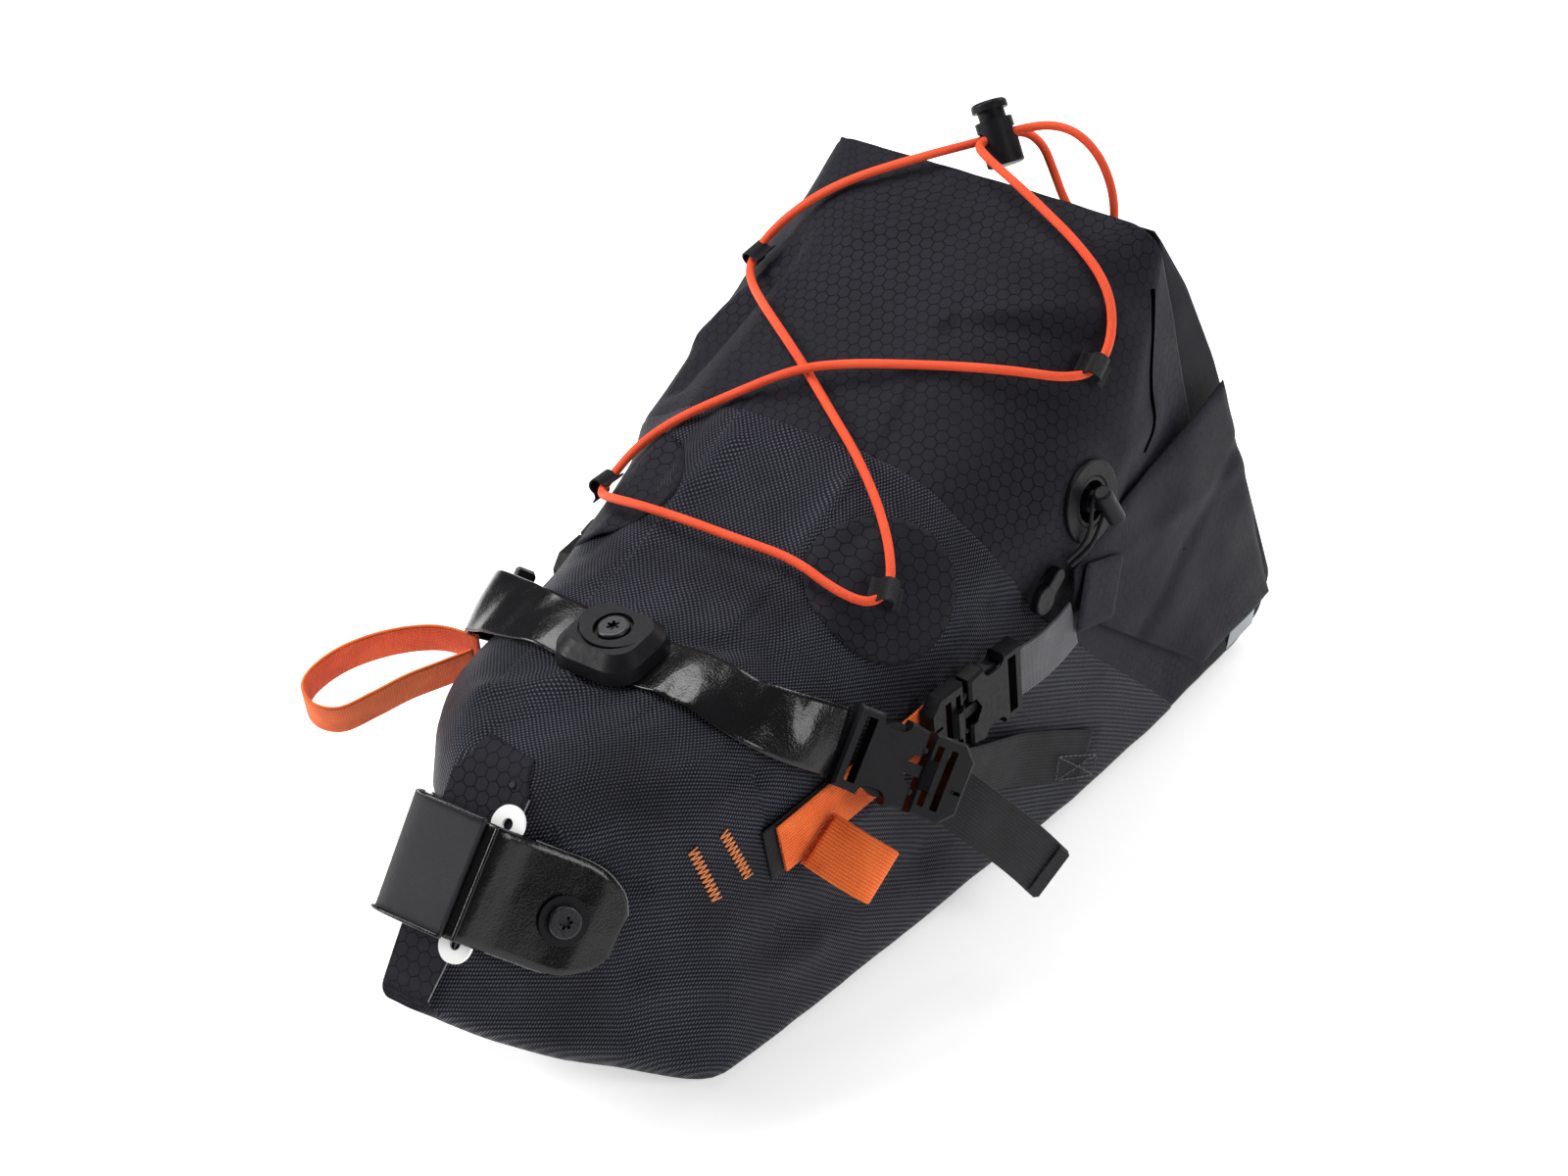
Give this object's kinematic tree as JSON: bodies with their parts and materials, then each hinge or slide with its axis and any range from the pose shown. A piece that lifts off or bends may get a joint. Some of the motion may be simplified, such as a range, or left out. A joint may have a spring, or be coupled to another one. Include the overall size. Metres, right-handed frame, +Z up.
{
  "type": "bicycle seat bag",
  "caption": "Roll-top bicycle seat pack with rail strap, seatpost strap, side buckles, bungee with cord lock and air valve.",
  "frame": {"origin": "middle of the flat underside, level with the middle of the bag", "axes": "+Z up from the flat underside, -Y towards the nose and the seatpost, +Y towards the roll closure, +X towards the rider's left"},
  "size_m": [0.2826, 0.512, 0.29],
  "materials": {
    "woven_fabric": "coarse coated weave",
    "ripstop_fabric": "smooth coated ripstop",
    "black_webbing": "ribbed woven webbing",
    "orange_webbing": "ribbed woven webbing",
    "grey_webbing": "smooth grey strap",
    "bungee_cord": "braided elastic sheath",
    "black_cord": "braided cord",
    "tpu_strap": "glossy coated strap",
    "textured_pad": "matte textured pad",
    "black_plastic": "moulded, fine grain",
    "stiffener_plastic": "sheet",
    "white_plastic": "smooth",
    "steel": "blackened",
    "reflective_trim": "silver reflective print"
  },
  "bodies": {
    "bag": {"anchor_patches": "woven_fabric", "base_webbing": "black_webbing", "bungee_cord": "bungee_cord", "bungee_knot": "bungee_cord", "bungee_loops": "black_webbing", "clamp_base": "black_plastic", "clamp_cap": "black_plastic", "clamp_nut": "steel", "clamp_screw": "steel", "closure_cuffs": "ripstop_fabric", "closure_ear_left": "ripstop_fabric", "closure_ear_right": "ripstop_fabric", "closure_plug_left": "black_plastic", "closure_plug_right": "black_plastic", "closure_socket_left": "black_plastic", "closure_socket_right": "black_plastic", "closure_straps": "grey_webbing", "closure_webbing_left": "orange_webbing", "closure_webbing_right": "orange_webbing", "cord_lock_barrel": "black_plastic", "cord_lock_spring": "steel", "front_shell": "woven_fabric", "loop_patches": "ripstop_fabric", "lower_bands": "ripstop_fabric", "nose_brace": "stiffener_plastic", "nose_patch": "ripstop_fabric", "nose_washers": "white_plastic", "pull_loop_left": "orange_webbing", "pull_loop_right": "orange_webbing", "rail_plug_left": "black_plastic", "rail_plug_right": "black_plastic", "rail_socket_left": "black_plastic", "rail_socket_right": "black_plastic", "rail_strap": "tpu_strap", "rail_webbing_left": "black_webbing", "rail_webbing_right": "black_webbing", "rear_reflector": "reflective_trim", "rear_tube": "ripstop_fabric", "roll_closure": "ripstop_fabric", "roll_stiffener": "stiffener_plastic", "seatpost_pad": "textured_pad", "seatpost_strap": "tpu_strap", "tongue_screws": "steel", "tongue_washers": "black_plastic", "underside_board": "stiffener_plastic", "valve_flange": "black_plastic", "valve_seat": "black_plastic"},
    "cord_lock_button": {"cord_lock_button": "black_plastic"},
    "valve_plug": {"valve_knob": "black_plastic", "valve_cord": "black_cord", "valve_grip": "black_plastic"},
    "rail_latch_upper_left": {"rail_latch_upper_left": "black_plastic"},
    "rail_latch_lower_left": {"rail_latch_lower_left": "black_plastic"},
    "rail_latch_upper_right": {"rail_latch_upper_right": "black_plastic"},
    "rail_latch_lower_right": {"rail_latch_lower_right": "black_plastic"},
    "closure_latch_upper_left": {"closure_latch_upper_left": "black_plastic"},
    "closure_latch_lower_left": {"closure_latch_lower_left": "black_plastic"},
    "closure_latch_upper_right": {"closure_latch_upper_right": "black_plastic"},
    "closure_latch_lower_right": {"closure_latch_lower_right": "black_plastic"}
  },
  "joints": [
    {"name": "rail_latch_upper_left_squeeze", "type": "hinge", "parent": "bag", "child": "rail_latch_upper_left", "pos_m": [0.10971, -0.08457, 0.12501], "axis": [0.7999, -0.4429, 0.4049], "range_deg": [0, 7], "stiffness_Nm_per_rad": 0.12},
    {"name": "rail_latch_lower_left_squeeze", "type": "hinge", "parent": "bag", "child": "rail_latch_lower_left", "pos_m": [0.1097, -0.09672, 0.11173], "axis": [-0.7999, 0.4429, -0.4049], "range_deg": [0, 7], "stiffness_Nm_per_rad": 0.12},
    {"name": "rail_latch_upper_right_squeeze", "type": "hinge", "parent": "bag", "child": "rail_latch_upper_right", "pos_m": [-0.10971, -0.08457, 0.12501], "axis": [0.7999, 0.4429, -0.4049], "range_deg": [0, 7], "stiffness_Nm_per_rad": 0.12},
    {"name": "rail_latch_lower_right_squeeze", "type": "hinge", "parent": "bag", "child": "rail_latch_lower_right", "pos_m": [-0.1097, -0.09672, 0.11173], "axis": [-0.7999, -0.4429, 0.4049], "range_deg": [0, 7], "stiffness_Nm_per_rad": 0.12},
    {"name": "closure_latch_upper_left_squeeze", "type": "hinge", "parent": "bag", "child": "closure_latch_upper_left", "pos_m": [0.10166, -0.0462, 0.10881], "axis": [0.9968, -0.08, 0], "range_deg": [0, 7], "stiffness_Nm_per_rad": 0.12},
    {"name": "closure_latch_lower_left_squeeze", "type": "hinge", "parent": "bag", "child": "closure_latch_lower_left", "pos_m": [0.10163, -0.04656, 0.12681], "axis": [-0.9968, 0.08, 0], "range_deg": [0, 7], "stiffness_Nm_per_rad": 0.12},
    {"name": "closure_latch_upper_right_squeeze", "type": "hinge", "parent": "bag", "child": "closure_latch_upper_right", "pos_m": [-0.10166, -0.0462, 0.10881], "axis": [0.9968, 0.08, 0], "range_deg": [0, 7], "stiffness_Nm_per_rad": 0.12},
    {"name": "closure_latch_lower_right_squeeze", "type": "hinge", "parent": "bag", "child": "closure_latch_lower_right", "pos_m": [-0.10163, -0.04656, 0.12681], "axis": [-0.9968, -0.08, 0], "range_deg": [0, 7], "stiffness_Nm_per_rad": 0.12},
    {"name": "cord_lock_press", "type": "slide", "parent": "bag", "child": "cord_lock_button", "axis": [0.5214, -0.2908, -0.8022], "range_m": [0, 0.004], "stiffness_N_per_m": 1200, "deforming": ["cord_lock_spring"]},
    {"name": "valve_pull", "type": "slide", "parent": "bag", "child": "valve_plug", "axis": [0.9927, 0, 0.1203], "range_m": [0, 0.003]}
  ]
}
